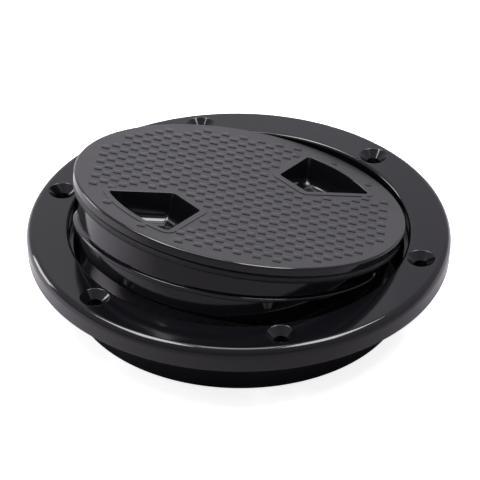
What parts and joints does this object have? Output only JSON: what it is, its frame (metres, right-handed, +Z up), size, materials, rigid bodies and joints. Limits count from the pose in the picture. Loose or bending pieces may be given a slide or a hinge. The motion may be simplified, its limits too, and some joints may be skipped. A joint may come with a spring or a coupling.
{
  "type": "deck hatch",
  "caption": "Round screw-out deck hatch: a flanged mounting ring with countersunk screw holes, and a loose threaded lid with finger pockets and a rubber seal, leaning in its mouth.",
  "frame": {"origin": "centre of the collar's foot, on the ring's axis", "axes": "+Z up along the ring's axis, out through its mouth; +X through the middle of one screw hole"},
  "size_m": [0.144, 0.144, 0.0518],
  "materials": {
    "ring_abs": "glossy black moulded ABS",
    "lid_abs": "black moulded ABS, glossy skirt and pockets, satin grained tread on top",
    "seal_rubber": "matt black rubber"
  },
  "bodies": {
    "ring": {"mounting_ring": "ring_abs"},
    "seal": {"lid_seal": "seal_rubber"},
    "lid": {"lid": "lid_abs"}
  },
  "joints": [
    {"name": "lid_lift", "type": "slide", "parent": "ring", "child": "seal", "axis": [0, 0, 1], "range_m": [0, 0.04]},
    {"name": "lid_turn", "type": "hinge", "parent": "seal", "child": "lid", "pos_m": [0.00146, 0.00083, 0.03818], "axis": [0.2418, 0.0199, 0.9701], "continuous": true}
  ]
}
